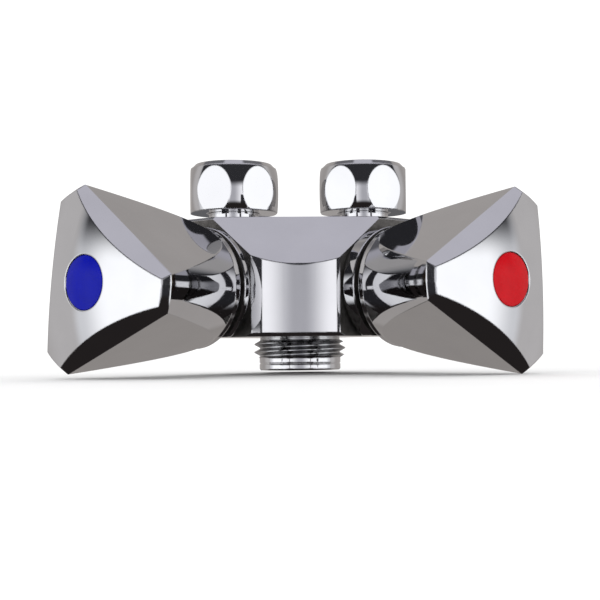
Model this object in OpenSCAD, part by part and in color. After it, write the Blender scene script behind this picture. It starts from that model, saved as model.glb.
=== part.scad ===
// Exposed mixer tap for a water heater: two three-cornered knobs either side of one cast body,
// two swivel nuts above that hang it from the heater's pipes, and a threaded outlet below.
// Millimetres. The origin is on the outlet's axis, at the lower end of its thread.
// +Z is up, -Y is towards the user, cold is on -X and hot is on +X.

/* [Casting] */
// Angle of each tap's axis from straight ahead, in degrees
tap_angle = 40; // [37:1:44]
// Height of the tap axes above the underside of the casting
axis_rise = 10.4; // [10:0.1:11]
// Height of the casting
body_h = 25.6; // [25:0.1:28]
// Distance from the outlet's axis to the middle of the front face
front_reach = 31.5; // [30:0.1:33]
// Radius of the front face, seen from above
front_r = 33; // [28:1:50]
// Distance from the outlet's axis to the end face behind the cold knob
cold_end_face = 29.4; // [28.5:0.1:30]
// Distance from the outlet's axis to the end face behind the hot knob
hot_end_face = 28.7; // [28.5:0.1:30]
// Width of each arm across its end face
arm_w = 26.2; // [25.8:0.1:26.8]
// Radius of the rounded back
back_r = 13.6; // [13.5:0.1:14.5]
// Slope of the facet above the front face, from upright, in degrees
facet_angle = 40; // [30:1:45]
// Height of that facet at the middle of the front
facet_h = 10.6; // [6:0.1:12]
// Radius of the rim of the boss that carries each tap
boss_r = 12.8; // [12:0.1:13.5]
// Radius of the neck behind that rim
boss_neck_r = 11.3; // [10.5:0.1:11.5]
// Distance from the outlet's axis to the face of each boss
boss_end = 32.4; // [32:0.1:33.5]
// Distance from the end face behind the cold knob to the rim of its boss
cold_neck_l = 1.7; // [0.5:0.1:1.9]
// Distance from the end face behind the hot knob to the rim of its boss
hot_neck_l = 0.5; // [0.5:0.1:1.9]
// Bevel along the top edge of each end face
end_bevel = 0.6; // [0.3:0.1:1]
// Bevel along the lower edge of the front face
front_bevel = 0.7; // [0.3:0.1:1]

/* [Outlet] */
// Outside radius of the outlet thread, G 1/2
outlet_r = 10.4775; // [9:0.0005:11.5]
// Length of the outlet thread
outlet_thread_l = 4; // [3.5:0.1:8]
// Radius of the plain end below the thread
pilot_r = 9.3; // [8.5:0.1:9.6]
// Length of the plain end
pilot_l = 2.8; // [1.5:0.1:4]
// Radius of the relief above the thread
relief_r = 9.2; // [8.5:0.1:9.6]
// Height of that relief
relief_l = 0.6; // [0.4:0.1:2]
// Radius of the outlet's bore
outlet_bore_r = 6.5; // [5:0.1:7]

/* [Waterways] */
// Radius of the valve chamber
chamber_r = 7.5; // [7:0.1:7.8]
// Distance from the outlet's axis to the valve seat
seat_face = 14; // [13.6:0.1:15]
// Height of the seat's ring above the chamber floor
seat_h = 1.2; // [0.8:0.1:2]
// Outer radius of the seat's ring
seat_ring_r = 5; // [4.6:0.1:5.4]
// Radius of the hole through the seat
seat_hole_r = 3.6; // [3.2:0.1:4]
// Distance between the two inlets
inlet_spacing = 28.8; // [28:0.1:32]
// How far the inlets stand in front of the outlet's axis
inlet_forward = 11.2; // [10:0.1:14]
// Radius of each inlet drilling
inlet_r = 3.5; // [3:0.1:3.6]
// How far each inlet drilling stops above the tap's axis
inlet_stop = 3.2; // [2.5:0.1:4]

/* [Unions] */
// Width of the swivel nut across its flats
nut_af = 19; // [18.6:0.1:20]
// Height of the swivel nut
nut_h = 10.8; // [10.6:0.1:13]
// Largest radius of the turned nut between its flats
nut_barrel_r = 10.3; // [10.2:0.1:10.8]
// Height of that largest radius above the nut's lower face
nut_barrel_h = 4.5; // [3.5:0.1:6]
// Radius of the barrel's curve, seen from the side
nut_curve_r = 17; // [12:0.5:20]
// Radius of the nut's flat top face
nut_top_r = 8.4; // [8.2:0.1:8.8]
// Depth of the bevel that ends the barrel at the top
nut_top_bevel = 0.9; // [0.5:0.1:1.5]
// Radius of the nut's thread at its crests, G 3/8
nut_thread_r = 7.475; // [7:0.005:8]
// Radius of the nut's undercut below its thread
nut_relief_r = 7.9; // [7.7:0.1:8.2]
// Thickness of the lip that the collar pulls on
nut_lip = 1.9; // [1.5:0.1:2.5]
// Clear height between the casting and the nut
nut_gap = 1.9; // [1:0.1:3]
// How far the cold nut is turned, in degrees
cold_nut_turn = 7; // [-30:1:30]
// How far the hot nut is turned, in degrees
hot_nut_turn = -5; // [-30:1:30]
// Radius of the tail's neck
neck_r = 5.5; // [5:0.1:5.8]
// Radius of the tail's waterway
tail_bore_r = 4; // [3:0.1:4.3]
// Radius of the tail's collar
collar_r = 7.2; // [6.8:0.1:7.4]
// Thickness of the tail's collar
collar_l = 1.8; // [1.5:0.1:2.5]
// Depth that the tail is screwed into the casting
tail_depth = 6; // [5:0.5:6.5]
// Thickness of the flat union washer
union_washer_l = 2; // [1.5:0.1:3]

/* [Knobs] */
// Length of the knob from its back to the middle of its domed front
knob_l = 30.2; // [29.5:0.1:34]
// Radius of the knob's round collar
knob_collar_r = 12.8; // [12:0.1:12.8]
// Length of that collar
knob_collar_l = 1.5; // [1:0.1:3]
// Radius of the cone at the knob's widest line
knob_corner_r = 19.8; // [19:0.1:22]
// Distance from the knob's back to its widest line
knob_girdle = 26.2; // [25.5:0.1:26.6]
// Distance of the knob's three flat sides from its axis
knob_side = 12.85; // [12.85:0.05:13.5]
// Slope of the bevel above each flat side, in degrees
knob_bevel_angle = 40; // [30:1:50]
// Length of the narrow band round each corner, along the axis
corner_band_l = 1.6; // [1:0.1:2]
// How much that band narrows
corner_band_in = 1; // [0.5:0.05:1.5]
// Radius of the domed front
dome_r = 73; // [60:1:120]
// Clear gap between the boss and the knob
knob_gap = 1.2; // [1:0.1:2]
// Radius of the hollow inside the knob
hollow_r = 10.4; // [10:0.1:10.6]
// Depth of that hollow
hollow_l = 24.5; // [22:0.1:24.8]
// Radius of the knob's hub
hub_r = 6.2; // [5.5:0.1:7]
// Distance from the knob's back to its hub
hub_set_back = 9.5; // [9.2:0.1:10.5]
// How far the cold knob is turned below level, in degrees
cold_turn = 8; // [-60:1:60]
// How far the hot knob is turned below level, in degrees
hot_turn = 2; // [-60:1:60]

/* [Index buttons] */
// Radius of the coloured button
button_r = 5.2; // [4.8:0.1:5.8]
// Depth that the button is let into the knob
button_depth = 2; // [1.5:0.1:2.5]
// How far the button's middle stands above its rim
button_crown = 0.6; // [0.3:0.1:1]
// Radius of the button's plug
button_plug_r = 4.3; // [4:0.05:4.4]
// Length of that plug
button_plug_l = 3; // [2:0.1:4]
// Wall of that plug
button_plug_wall = 0.9; // [0.6:0.1:1.2]

/* [Headworks] */
// Outside radius of the bonnet's thread, G 3/8
bonnet_thread_r = 8.33; // [8.1:0.01:8.4]
// Length of thread in the casting
bonnet_thread_l = 8; // [7:0.1:8.6]
// Width of the bonnet across its flats
bonnet_af = 17; // [16.5:0.1:17.4]
// Thickness of the bonnet's hexagon
bonnet_hex_l = 4; // [3.5:0.1:4.2]
// Radius of the bonnet's nose
bonnet_nose_r = 6.2; // [5.8:0.1:7]
// Length of the bonnet's nose
bonnet_nose_l = 4; // [3.6:0.1:4.2]
// Thickness of the fibre washer under the bonnet
bonnet_washer_l = 0.8; // [0.5:0.1:1]
// Outer radius of that washer
bonnet_washer_r = 10; // [9.9:0.1:10.1]
// Radius of the spindle's journal
spindle_r = 4; // [3.8:0.05:4.2]
// Radius of the spindle's thrust collar
thrust_r = 5; // [4.8:0.1:5.1]
// Thickness of the thrust collar
thrust_l = 1.6; // [1.2:0.1:2]
// Outside radius of the spindle's screw thread
screw_r = 3.4; // [3:0.05:3.5]
// Number of splines on the spindle
spline_count = 20; // [12:1:24]
// Depth of each spline
spline_depth = 0.4; // [0.3:0.05:0.5]
// Length of the splined end
spline_l = 8; // [7:0.1:8.5]
// Width of the sliding valve across its flats
valve_af = 10.4; // [10:0.05:10.5]
// Length of the sliding valve
valve_l = 12.4; // [11.5:0.1:13]
// Radius of the valve's flange
valve_flange_r = 6; // [5.6:0.1:6.5]
// Thickness of the valve's flange
valve_flange_l = 1.6; // [1.2:0.1:2]
// Radius of the rubber seat washer
seat_washer_r = 5.6; // [5.2:0.1:6]
// Thickness of the rubber seat washer
seat_washer_l = 3; // [2.5:0.1:3.5]
// Travel of the valve from shut to open
valve_travel = 3; // [2:0.1:3]
// Radius of the O-ring's section
o_ring_r = 0.47; // [0.4:0.01:0.6]
// Thickness of the retaining clip
clip_l = 0.8; // [0.6:0.1:1]
// Outer radius of the retaining clip
clip_r = 6; // [5.5:0.1:6.5]

/* [Screws] */
// Radius of the knob screw's thread, M4
knob_screw_r = 2; // [1.9:0.05:2.1]
// Length of the knob screw under its head
knob_screw_l = 8; // [6:0.5:9]
// Radius of the knob screw's head
knob_screw_head_r = 3.8; // [3.4:0.1:4]
// Height of the knob screw's head
knob_screw_head_l = 2.4; // [2:0.1:3]
// Radius of the washer screw's thread, M3
washer_screw_r = 1.5; // [1.4:0.05:1.7]
// Length of the washer screw under its head
washer_screw_l = 6; // [5:0.5:7]
// Radius of the washer screw's head
washer_screw_head_r = 2.8; // [2.5:0.1:3]
// Height of the washer screw's head
washer_screw_head_l = 1.8; // [1.5:0.1:2]

/* [Fits] */
// Radial gap round a screwed or pressed joint
thread_gap = 0.03; // [0.02:0.01:0.05]
// Radial gap round a turning or sliding part
running_gap = 0.05; // [0.03:0.01:0.08]
// Gap each side of the valve's flats
slide_gap = 0.1; // [0.06:0.01:0.15]
// End gap between parts that turn against each other
end_gap = 0.1; // [0.05:0.01:0.15]
// Radial gap round a loose part
loose_gap = 0.25; // [0.2:0.01:0.3]

/* [Hidden] */

$fn = 96;
COLD = -1;
HOT = 1;
// Overshoot of a cutting tool past the face it cuts
over = 1;

// Heights of the casting
underside_z = outlet_thread_l + relief_l;
axis_z = underside_z + axis_rise;
top_z = underside_z + body_h;
facet_z = top_z - facet_h;
reach_all = front_reach + body_h;

// Places along a tap's axis, measured from the outlet's axis
knob_back = boss_end + knob_gap;
bonnet_seat = boss_end + bonnet_washer_l;
bonnet_inner = boss_end - bonnet_thread_l;
bonnet_hex_end = bonnet_seat + bonnet_hex_l;
nose_end = bonnet_hex_end + bonnet_nose_l;
hub_start = knob_back + hub_set_back;
spline_end = hub_start + spline_l;
web_start = spline_end + 0.4;
web_end = web_start + 2;
front_apex = knob_back + knob_l;
button_floor = front_apex - button_depth;

// The spindle, its collar and the clip that keeps it in the bonnet
journal_start = bonnet_seat + 2;
thrust_start = journal_start - end_gap - thrust_l;
clip_start = nose_end + end_gap;
o_ring_at = (journal_start + nose_end) / 2;
o_ring_centre_r = spindle_r + running_gap - o_ring_r - 0.03;
o_ring_groove_r = o_ring_centre_r - o_ring_r;
clip_groove_r = spindle_r - 0.6;

// The sliding valve, drawn shut
washer_face = seat_face + end_gap / 2;
valve_start = washer_face + seat_washer_l;
valve_end = valve_start + valve_l;
screw_tip = valve_end - 4.7;
screw_well = screw_tip - valve_travel - end_gap;
guide_af = valve_af + 2 * slide_gap;

// The unions
nut_z = top_z + nut_gap;
lip_z = nut_z + nut_lip;
collar_z = lip_z + end_gap;
union_washer_z = collar_z + collar_l;
thread_z = union_washer_z + union_washer_l + end_gap;
tail_foot_z = top_z - tail_depth;
nut_curve_centre = nut_barrel_r - nut_curve_r;
nut_chamfer = 0.6;

// Turns a shape that points along +Z so that it points out along a tap's axis, in its place
module on_tap(side, from) {
    translate([0, 0, axis_z])
        mirror([side == COLD ? 1 : 0, 0, 0])
            rotate([0, 0, tap_angle - 90])
                rotate([0, 90, 0])
                    translate([0, 0, from])
                        children();
}

// The same, turned with its knob
module on_knob(side, from) {
    turn = side == COLD ? cold_turn : hot_turn;
    on_tap(side, from) rotate([0, 0, turn - 90]) children();
}

// Moves a shape to an inlet
module at_inlet(side, z) {
    translate([side * inlet_spacing / 2, -inlet_forward, z]) children();
}

// A turned ring standing on z = 0
module ring(outer_r, inner_r, h) {
    difference() {
        cylinder(r = outer_r, h = h);
        translate([0, 0, -over]) cylinder(r = inner_r, h = h + 2 * over);
    }
}

// A hexagonal bar standing on z = 0, flats to left and right
module hex_bar(af, h) {
    rotate([0, 0, 30]) cylinder(d = af / cos(30), h = h, $fn = 6);
}

// Outline of a splined shaft with pointed teeth
module spline_outline(r) {
    step = 180 / spline_count;
    polygon([for (i = [0 : 2 * spline_count - 1])
        let (rad = i % 2 == 0 ? r : r - spline_depth)
        [rad * cos(i * step), rad * sin(i * step)]]);
}

// How far out each arm's end face stands
function end_face(side) = side == COLD ? cold_end_face : hot_end_face;

// A point of the plan, so far out along a tap's axis and so far off it towards the front
function plan_point(side, out, off) =
    [side * (out * sin(tap_angle) - off * cos(tap_angle)), -out * cos(tap_angle) - off * sin(tap_angle)];

// How far off the tap's axis an end face meets the front
function front_off(side) = (front_reach - end_face(side) * cos(tap_angle)) / sin(tap_angle);

// The two arms and the column between them, seen from above
module plan() {
    half = arm_w / 2;
    polygon([
        plan_point(COLD, end_face(COLD), front_off(COLD)),
        plan_point(HOT, end_face(HOT), front_off(HOT)),
        plan_point(HOT, end_face(HOT), -half), plan_point(HOT, 0, -half), [0, 0],
        plan_point(COLD, 0, -half), plan_point(COLD, end_face(COLD), -half)]);
}

// Bevels the top edge of an end face
module end_edge_cutter(side) {
    reach = front_reach + arm_w;
    edge = axis_rise - body_h;
    on_tap(side, end_face(side))
        translate([0, reach, 0]) rotate([90, 0, 0])
            linear_extrude(height = 2 * reach)
                polygon([[edge - over, -end_bevel - over], [edge + end_bevel + over, over],
                    [edge - over, over]]);
}

// Shaves the middle of the front to its curve
module front_cutter() {
    difference() {
        translate([-arm_w / 2, -front_reach - over, underside_z - over])
            cube([arm_w, front_reach / 2, body_h + 2 * over]);
        translate([0, front_r - front_reach, underside_z]) front_drum();
    }
}

// The curve of the front, bevelled at its lower edge
module front_drum() {
    translate([0, 0, front_bevel])
        cylinder(r = front_r, h = body_h + 2 * over, $fn = 180);
    cylinder(r1 = front_r - front_bevel, r2 = front_r, h = front_bevel, $fn = 180);
    translate([0, 0, -2 * over])
        cylinder(r = front_r - front_bevel, h = 3 * over, $fn = 180);
}

// Slopes the top of the front back to the facet
module facet_cutter() {
    translate([0, -front_reach, facet_z])
        rotate([-facet_angle, 0, 0])
            translate([-reach_all, -reach_all, -reach_all])
                cube([2 * reach_all, reach_all, 3 * reach_all]);
}

// The boss that the knob turns in front of, a neck with a rim, cut off level with the underside
module boss(side) {
    root = end_face(side);
    rim_at = side == COLD ? cold_neck_l : hot_neck_l;
    shoulder = 0.4;
    on_tap(side, root) intersection() {
        rotate_extrude()
            polygon([[0, -over], [boss_neck_r, -over], [boss_neck_r, rim_at - shoulder],
                [boss_r, rim_at], [boss_r, boss_end - root], [0, boss_end - root]]);
        translate([-reach_all, -reach_all, -2 * over])
            cube([reach_all + axis_rise, 2 * reach_all, reach_all]);
    }
}

// The threaded outlet below the casting, its thread drawn at its outside radius
module outlet() {
    translate([0, 0, -pilot_l]) pilot();
    cylinder(r = outlet_r, h = outlet_thread_l);
    cylinder(r = relief_r, h = underside_z + over);
}

// The plain end of the outlet, with a turned groove and a broken edge
module pilot() {
    edge = 0.3;
    groove_at = pilot_l * 0.55;
    groove_half = 0.2;
    rotate_extrude()
        polygon([[0, 0], [pilot_r - edge, 0], [pilot_r, edge],
            [pilot_r, groove_at - groove_half], [pilot_r - groove_half, groove_at],
            [pilot_r, groove_at + groove_half], [pilot_r, pilot_l + over], [0, pilot_l + over]]);
}

// The waterways of one tap: inlet, chamber, seat and the bore for the bonnet's thread
module waterway(side) {
    floor_at = seat_face - seat_h;
    at_inlet(side, axis_z + inlet_stop) cylinder(r = inlet_r, h = body_h);
    at_inlet(side, tail_foot_z) cylinder(r = neck_r + thread_gap, h = tail_depth + over);
    on_tap(side, 0) cylinder(r = seat_hole_r, h = seat_face + over);
    on_tap(side, floor_at) ring(chamber_r, seat_ring_r, seat_h);
    on_tap(side, seat_face) cylinder(r = chamber_r, h = boss_end - seat_face);
    on_tap(side, bonnet_inner) cylinder(r = bonnet_thread_r + thread_gap, h = bonnet_thread_l + over);
}

// The cast and machined brass body
module body() {
    color("gainsboro") difference() {
        union() {
            difference() {
                translate([0, 0, underside_z]) linear_extrude(height = body_h) plan();
                front_cutter();
                end_edge_cutter(COLD);
                end_edge_cutter(HOT);
                facet_cutter();
            }
            boss(COLD);
            boss(HOT);
            translate([0, 0, underside_z]) cylinder(r = back_r, h = body_h);
            outlet();
        }
        waterway(COLD);
        waterway(HOT);
        translate([0, 0, -pilot_l - over])
            cylinder(r = outlet_bore_r, h = axis_z + pilot_l + over + seat_hole_r);
    }
}

// The turned outside of the knob, before its flats are cut
module knob_turning() {
    dome_edge = knob_girdle + corner_band_l;
    dome_edge_r = knob_corner_r - corner_band_in;
    intersection() {
        rotate_extrude()
            polygon([[0, 0], [knob_collar_r, 0], [knob_collar_r, knob_collar_l],
                [knob_corner_r, knob_girdle], [dome_edge_r, dome_edge],
                [dome_edge_r, knob_l + over], [0, knob_l + over]]);
        translate([0, 0, knob_l - dome_r]) sphere(r = dome_r, $fn = 200);
    }
}

// Cuts one flat side and the bevel above it
module knob_side_cutter() {
    reach = 2 * knob_corner_r;
    top = knob_l + over;
    bevel_start = knob_girdle - 0.1;
    inset = (top - bevel_start) * tan(knob_bevel_angle);
    rotate([90, 0, 0]) translate([0, 0, -knob_corner_r])
        linear_extrude(height = reach)
            polygon([[knob_side, -over], [reach, -over], [reach, top],
                [knob_side - inset, top], [knob_side, bevel_start]]);
}

// The die-cast knob: three corners, three flat sides, bevels and a domed front, hollow behind
module handle(side) {
    color("silver") on_knob(side, knob_back) difference() {
        knob_turning();
        for (k = [0 : 2]) rotate([0, 0, 60 + 120 * k]) knob_side_cutter();
        difference() {
            translate([0, 0, -over]) cylinder(r = hollow_r, h = hollow_l + over);
            translate([0, 0, hub_set_back]) cylinder(r = hub_r, h = hollow_l);
        }
        knob_socket();
    }
}

// The splined socket, the screw's hole and the seat of the index button
module knob_socket() {
    socket_r = spindle_r + running_gap;
    translate([0, 0, hub_set_back - over])
        linear_extrude(height = spline_l + 0.4 + over) spline_outline(socket_r);
    translate([0, 0, hub_set_back]) cylinder(r = knob_screw_r + loose_gap, h = knob_l);
    translate([0, 0, web_end - knob_back]) cylinder(r = button_plug_r + thread_gap, h = knob_l);
    translate([0, 0, button_floor - knob_back]) cylinder(r = button_r + thread_gap, h = knob_l);
}

// The coloured button that shows hot or cold and hides the screw
module index_button(side) {
    crown_r = (button_r * button_r + button_crown * button_crown) / (2 * button_crown);
    rim = button_depth - 0.3;
    color(side == COLD ? "mediumblue" : "red") on_knob(side, button_floor) {
        intersection() {
            cylinder(r = button_r, h = rim + button_crown);
            translate([0, 0, rim + button_crown - crown_r]) sphere(r = crown_r, $fn = 160);
        }
        translate([0, 0, -button_plug_l])
            ring(button_plug_r, button_plug_r - button_plug_wall, button_plug_l + rim / 2);
    }
}

// The screw that holds the knob on its spindle
module handle_screw(side) {
    color("lightsteelblue") on_knob(side, web_end) difference() {
        union() {
            cylinder(r = knob_screw_head_r, h = knob_screw_head_l);
            translate([0, 0, -knob_screw_l])
                cylinder(r = knob_screw_r, h = knob_screw_l + knob_screw_head_l / 2);
        }
        screw_slot(knob_screw_head_r, knob_screw_head_l);
    }
}

// The slot across a screw's head
module screw_slot(head_r, head_l) {
    slot_w = head_r / 4;
    translate([-head_r - over, -slot_w / 2, head_l / 2])
        cube([2 * head_r + 2 * over, slot_w, head_l]);
}

// The spindle: screw thread, thrust collar, journal, grooves and splined end
module spindle(side) {
    color("goldenrod") on_knob(side, 0) difference() {
        union() {
            translate([0, 0, screw_tip]) cylinder(r = screw_r, h = journal_start - screw_tip);
            translate([0, 0, thrust_start]) cylinder(r = thrust_r, h = thrust_l);
            translate([0, 0, thrust_start]) cylinder(r = spindle_r, h = hub_start - thrust_start);
            translate([0, 0, hub_start - over])
                linear_extrude(height = spline_l + over) spline_outline(spindle_r);
        }
        translate([0, 0, o_ring_at - o_ring_r - slide_gap])
            ring(spindle_r + over, o_ring_groove_r, 2 * (o_ring_r + slide_gap));
        translate([0, 0, clip_start]) ring(spindle_r + over, clip_groove_r, clip_l + thread_gap);
        translate([0, 0, web_end - knob_screw_l - end_gap])
            cylinder(r = knob_screw_r + thread_gap, h = knob_screw_l);
    }
}

// The sprung clip in the spindle's groove, outside the bonnet's nose
module circlip(side) {
    opening = clip_groove_r * 1.4;
    color("dimgray") on_knob(side, clip_start) difference() {
        ring(clip_r, clip_groove_r + thread_gap, clip_l);
        translate([0, -opening / 2, -over]) cube([clip_r + over, opening, clip_l + 2 * over]);
    }
}

// The rubber ring that seals the spindle
module spindle_o_ring(side) {
    color("black") on_knob(side, o_ring_at)
        rotate_extrude() translate([o_ring_centre_r, 0]) circle(r = o_ring_r, $fn = 24);
}

// The brass bonnet that screws into the boss
module bonnet(side) {
    color("khaki") on_tap(side, 0) difference() {
        union() {
            translate([0, 0, bonnet_inner])
                cylinder(r = bonnet_thread_r, h = bonnet_seat - bonnet_inner + over);
            translate([0, 0, bonnet_seat]) hex_bar(bonnet_af, bonnet_hex_l);
            translate([0, 0, bonnet_seat]) cylinder(r = bonnet_nose_r, h = nose_end - bonnet_seat);
        }
        translate([0, 0, bonnet_inner - over])
            hex_bar(guide_af, thrust_start - end_gap - bonnet_inner + over);
        translate([0, 0, thrust_start - end_gap - over])
            cylinder(r = thrust_r + running_gap, h = journal_start - thrust_start + end_gap + over);
        translate([0, 0, journal_start - over])
            cylinder(r = spindle_r + running_gap, h = nose_end - journal_start + 2 * over);
    }
}

// The fibre washer between the boss and the bonnet's hexagon
module bonnet_washer(side) {
    color("saddlebrown") on_tap(side, boss_end)
        ring(bonnet_washer_r, bonnet_thread_r + thread_gap, bonnet_washer_l);
}

// The valve that slides without turning and carries the seat washer
module valve(side) {
    color("darkkhaki") on_tap(side, 0) difference() {
        union() {
            translate([0, 0, valve_start]) cylinder(r = valve_flange_r, h = valve_flange_l);
            translate([0, 0, valve_start]) hex_bar(valve_af, valve_l);
        }
        translate([0, 0, valve_start - over])
            cylinder(r = washer_screw_r + thread_gap, h = washer_screw_l - seat_washer_l + end_gap + over);
        translate([0, 0, screw_well]) cylinder(r = screw_r + running_gap, h = valve_end - screw_well + over);
    }
}

// The rubber washer that closes on the seat
module seat_washer(side) {
    color("black") on_tap(side, washer_face)
        ring(seat_washer_r, washer_screw_r + thread_gap, seat_washer_l);
}

// The small brass screw that holds the seat washer
module washer_screw(side) {
    color("gold") on_tap(side, washer_face) difference() {
        union() {
            translate([0, 0, -washer_screw_head_l])
                cylinder(r = washer_screw_head_r, h = washer_screw_head_l);
            translate([0, 0, -washer_screw_head_l / 2])
                cylinder(r = washer_screw_r, h = washer_screw_l + washer_screw_head_l / 2);
        }
        mirror([0, 0, 1]) screw_slot(washer_screw_head_r, washer_screw_head_l);
    }
}

// The collared tail that the swivel nut pulls against the pipe
module union_tail(side) {
    color("whitesmoke") at_inlet(side, 0) difference() {
        union() {
            translate([0, 0, tail_foot_z]) cylinder(r = neck_r, h = union_washer_z - tail_foot_z);
            translate([0, 0, collar_z]) cylinder(r = collar_r, h = collar_l);
        }
        translate([0, 0, tail_foot_z - over])
            cylinder(r = tail_bore_r, h = union_washer_z - tail_foot_z + 2 * over);
    }
}

// The flat rubber washer on the tail's collar
module union_washer(side) {
    color("darkslategray") at_inlet(side, union_washer_z)
        ring(collar_r, tail_bore_r, union_washer_l);
}

// Half section of the nut's turned outside, a barrel with a bevelled top
module nut_section() {
    intersection() {
        translate([nut_curve_centre, nut_barrel_h]) circle(r = nut_curve_r, $fn = 180);
        polygon([[0, 0], [nut_barrel_r + over, 0], [nut_barrel_r + over, nut_h - nut_top_bevel],
            [nut_top_r + nut_top_bevel, nut_h - nut_top_bevel], [nut_top_r, nut_h], [0, nut_h]]);
    }
}

// The swivel nut: a barrel with six flats, threaded above and lipped below
module union_nut(side) {
    turn = side == COLD ? cold_nut_turn : hot_nut_turn;
    color("gainsboro") at_inlet(side, nut_z) rotate([0, 0, turn]) difference() {
        intersection() {
            rotate_extrude() nut_section();
            hex_bar(nut_af, nut_h);
        }
        translate([0, 0, -over]) cylinder(r = neck_r + loose_gap, h = nut_h + 2 * over);
        translate([0, 0, nut_lip]) cylinder(r = nut_relief_r, h = thread_z - lip_z);
        translate([0, 0, nut_lip]) cylinder(r = nut_thread_r, h = nut_h);
        translate([0, 0, nut_h - nut_chamfer])
            cylinder(r1 = nut_thread_r, r2 = nut_thread_r + 2 * nut_chamfer, h = 2 * nut_chamfer);
    }
}

body();
handle(COLD);  // cold_handle
index_button(COLD);  // cold_index_button
handle_screw(COLD);  // cold_handle_screw
spindle(COLD);  // cold_spindle
circlip(COLD);  // cold_circlip
spindle_o_ring(COLD);  // cold_spindle_o_ring
bonnet(COLD);  // cold_bonnet
bonnet_washer(COLD);  // cold_bonnet_washer
valve(COLD);  // cold_valve
seat_washer(COLD);  // cold_seat_washer
washer_screw(COLD);  // cold_washer_screw
union_tail(COLD);  // cold_union_tail
union_washer(COLD);  // cold_union_washer
union_nut(COLD);  // cold_union_nut
handle(HOT);  // hot_handle
index_button(HOT);  // hot_index_button
handle_screw(HOT);  // hot_handle_screw
spindle(HOT);  // hot_spindle
circlip(HOT);  // hot_circlip
spindle_o_ring(HOT);  // hot_spindle_o_ring
bonnet(HOT);  // hot_bonnet
bonnet_washer(HOT);  // hot_bonnet_washer
valve(HOT);  // hot_valve
seat_washer(HOT);  // hot_seat_washer
washer_screw(HOT);  // hot_washer_screw
union_tail(HOT);  // hot_union_tail
union_washer(HOT);  // hot_union_washer
union_nut(HOT);  // hot_union_nut
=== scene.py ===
"""Looks of the water heater mixer tap: chromed casting, knobs and nuts round brass headworks."""
import math

import bmesh
import bpy
from bpy.props import FloatProperty, FloatVectorProperty, PointerProperty
from mathutils import Matrix, Vector


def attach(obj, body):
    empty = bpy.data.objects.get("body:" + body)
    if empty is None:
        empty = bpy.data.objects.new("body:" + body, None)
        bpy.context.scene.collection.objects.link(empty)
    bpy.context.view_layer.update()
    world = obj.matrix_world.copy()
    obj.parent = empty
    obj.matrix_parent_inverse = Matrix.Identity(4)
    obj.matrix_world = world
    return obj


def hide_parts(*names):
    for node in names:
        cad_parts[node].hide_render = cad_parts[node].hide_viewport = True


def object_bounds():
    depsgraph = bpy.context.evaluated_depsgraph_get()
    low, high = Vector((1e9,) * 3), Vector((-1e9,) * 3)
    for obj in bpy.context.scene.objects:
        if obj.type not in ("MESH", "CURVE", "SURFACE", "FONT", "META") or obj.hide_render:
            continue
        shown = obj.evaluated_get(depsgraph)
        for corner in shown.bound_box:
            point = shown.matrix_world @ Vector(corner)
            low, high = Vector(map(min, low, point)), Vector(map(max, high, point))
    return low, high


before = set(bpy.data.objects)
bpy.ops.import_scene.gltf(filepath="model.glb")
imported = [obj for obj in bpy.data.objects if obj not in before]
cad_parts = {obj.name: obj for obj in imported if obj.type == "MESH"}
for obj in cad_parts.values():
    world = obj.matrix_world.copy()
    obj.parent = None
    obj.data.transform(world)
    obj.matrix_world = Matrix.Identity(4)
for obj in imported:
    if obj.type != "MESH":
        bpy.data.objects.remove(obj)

bl_info = {
    "name": "Water heater mixer tap",
    "version": (1, 0, 0),
    "blender": (4, 5, 0),
    "location": "View3D > Sidebar > Mixer tap",
    "description": "Dresses the packed mixer tap with its chromed, brass and rubber pieces",
    "category": "Object",
}

MM = 0.001
WELD = 0.0005 * MM  # Points nearer than this are one
SIDES = (("cold", -1), ("hot", 1))
CAD_BOX = [list(corner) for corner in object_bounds()]

# How far the rounded back is turned, below the underside and above the top, before it is cut level
ROUNDED_BACK_FOOT, ROUNDED_BACK_TOP = 3.9, 31.1
# Half sections of what is bored and turned, as (radius, height) pairs in millimetres
VALVE_CHAMBER = ((0, 0), (3.6, 0), (3.6, 14), (5, 14), (5, 12.8), (7.5, 12.8), (7.5, 24.4),
                 (8.36, 24.4), (8.36, 34), (0, 34))
INLET = ((0, 18.2), (3.5, 18.2), (3.5, 24.2), (5.53, 24.2), (5.53, 31.5), (0, 31.5))
UNION_TAIL = ((4.0, 24.2), (5.5, 24.2), (5.5, 33.9), (5.5, 34.1), (7.05, 34.1), (7.2, 34.25),
              (7.2, 35.75), (7.05, 35.9), (4.2, 35.9), (4.0, 35.7))
# The screw's well, the splined socket and the hollow of a knob, from the button's seat down
KNOB_HOLLOW = ((4.33, 19.9), (2.25, 19.9), (2.25, 17.9), (4.05, 17.9), (4.05, 9.5), (6.2, 9.5),
               (6.2, 24.5), (10.4, 24.5))


# Sizes and colours that a user would change

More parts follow.
